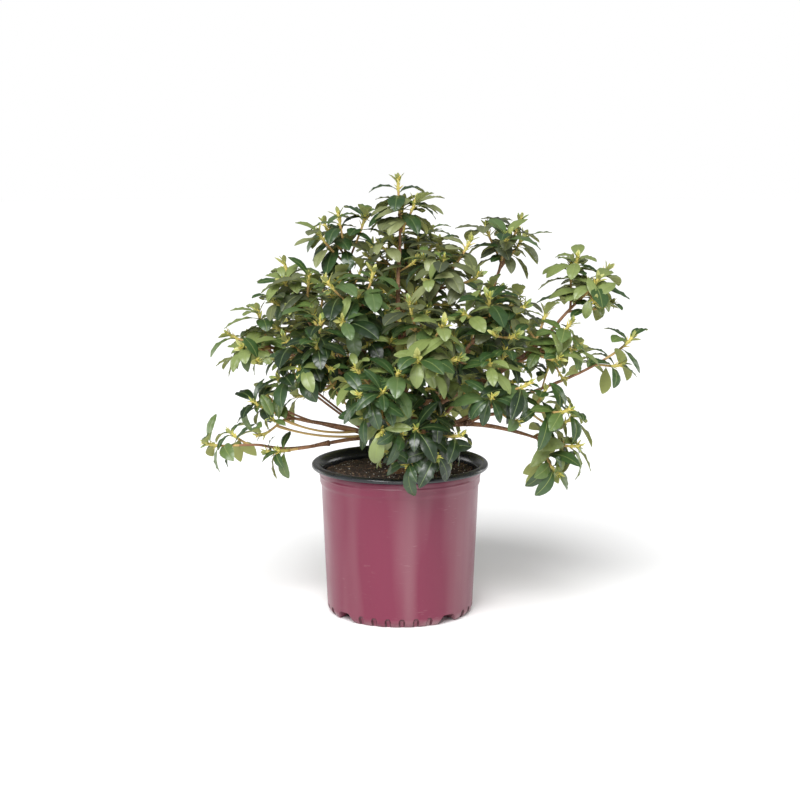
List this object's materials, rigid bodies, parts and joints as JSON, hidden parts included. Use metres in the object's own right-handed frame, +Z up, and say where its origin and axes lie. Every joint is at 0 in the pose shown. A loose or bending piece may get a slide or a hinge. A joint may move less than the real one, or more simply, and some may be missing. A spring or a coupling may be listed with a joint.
{
  "type": "potted azalea shrub",
  "caption": "Evergreen azalea in leaf: a short trunk with slender boughs and whorled leaves, standing in a round moulded nursery pot filled with potting mix",
  "frame": {"origin": "the middle of the pot's flat underside, on the floor", "axes": "+Z up, +X to the right and -Y towards the viewer of the picture"},
  "size_m": [0.7346, 0.5151, 0.6976],
  "materials": {
    "pot_plastic": "satin moulded plastic, wine red",
    "liner_plastic": "satin moulded plastic, black",
    "potting_mix": "loose bark, peat and perlite",
    "bark": "thin reddish-brown bark",
    "foliage_bronze": "leathery leaf, dark green tinged with bronze",
    "foliage_dark": "leathery leaf, dark green",
    "foliage_fresh": "leathery leaf, fresh green"
  },
  "bodies": {
    "root": {"pot": "pot_plastic", "pot_liner": "liner_plastic", "potting_mix": "potting_mix", "trunk": "bark", "bough_leader": "bark", "bough_left_tall": "bark", "bough_right_tall": "bark", "bough_left_shoulder": "bark", "bough_right_shoulder": "bark", "bough_front": "bark", "bough_left_low": "bark", "bough_front_skirt": "bark", "bough_right_drooping": "bark", "bough_back": "bark", "bough_back_left_low": "bark", "bough_back_right_low": "bark", "bough_upper_middle": "bark", "bough_upper_left": "bark", "bough_back_top": "bark", "bough_upper_right": "bark", "bough_front_left": "bark", "bough_front_upper": "bark", "bough_left": "bark", "bough_right": "bark", "bough_front_right": "bark", "bough_right_low": "bark", "bough_right_reaching": "bark", "bough_left_trailing": "bark", "bough_left_fallen": "bark", "bough_back_left": "bark", "bough_back_right": "bark", "bough_back_skirt": "bark", "leaves_leader": "foliage_bronze", "leaves_left_tall": "foliage_bronze", "leaves_right_tall": "foliage_bronze", "leaves_left_shoulder": "foliage_dark", "leaves_right_shoulder": "foliage_fresh", "leaves_front": "foliage_dark", "leaves_left_low": "foliage_dark", "leaves_front_skirt": "foliage_dark", "leaves_right_drooping": "foliage_fresh", "leaves_back": "foliage_dark", "leaves_back_left_low": "foliage_dark", "leaves_back_right_low": "foliage_dark", "leaves_upper_middle": "foliage_bronze", "leaves_upper_left": "foliage_dark", "leaves_back_top": "foliage_bronze", "leaves_upper_right": "foliage_dark", "leaves_front_left": "foliage_dark", "leaves_front_upper": "foliage_dark", "leaves_left": "foliage_dark", "leaves_right": "foliage_fresh", "leaves_front_right": "foliage_dark", "leaves_right_low": "foliage_fresh", "leaves_right_reaching": "foliage_fresh", "leaves_left_trailing": "foliage_fresh", "leaves_left_fallen": "foliage_fresh", "leaves_back_left": "foliage_dark", "leaves_back_right": "foliage_dark", "leaves_back_skirt": "foliage_dark"}
  },
  "joints": []
}
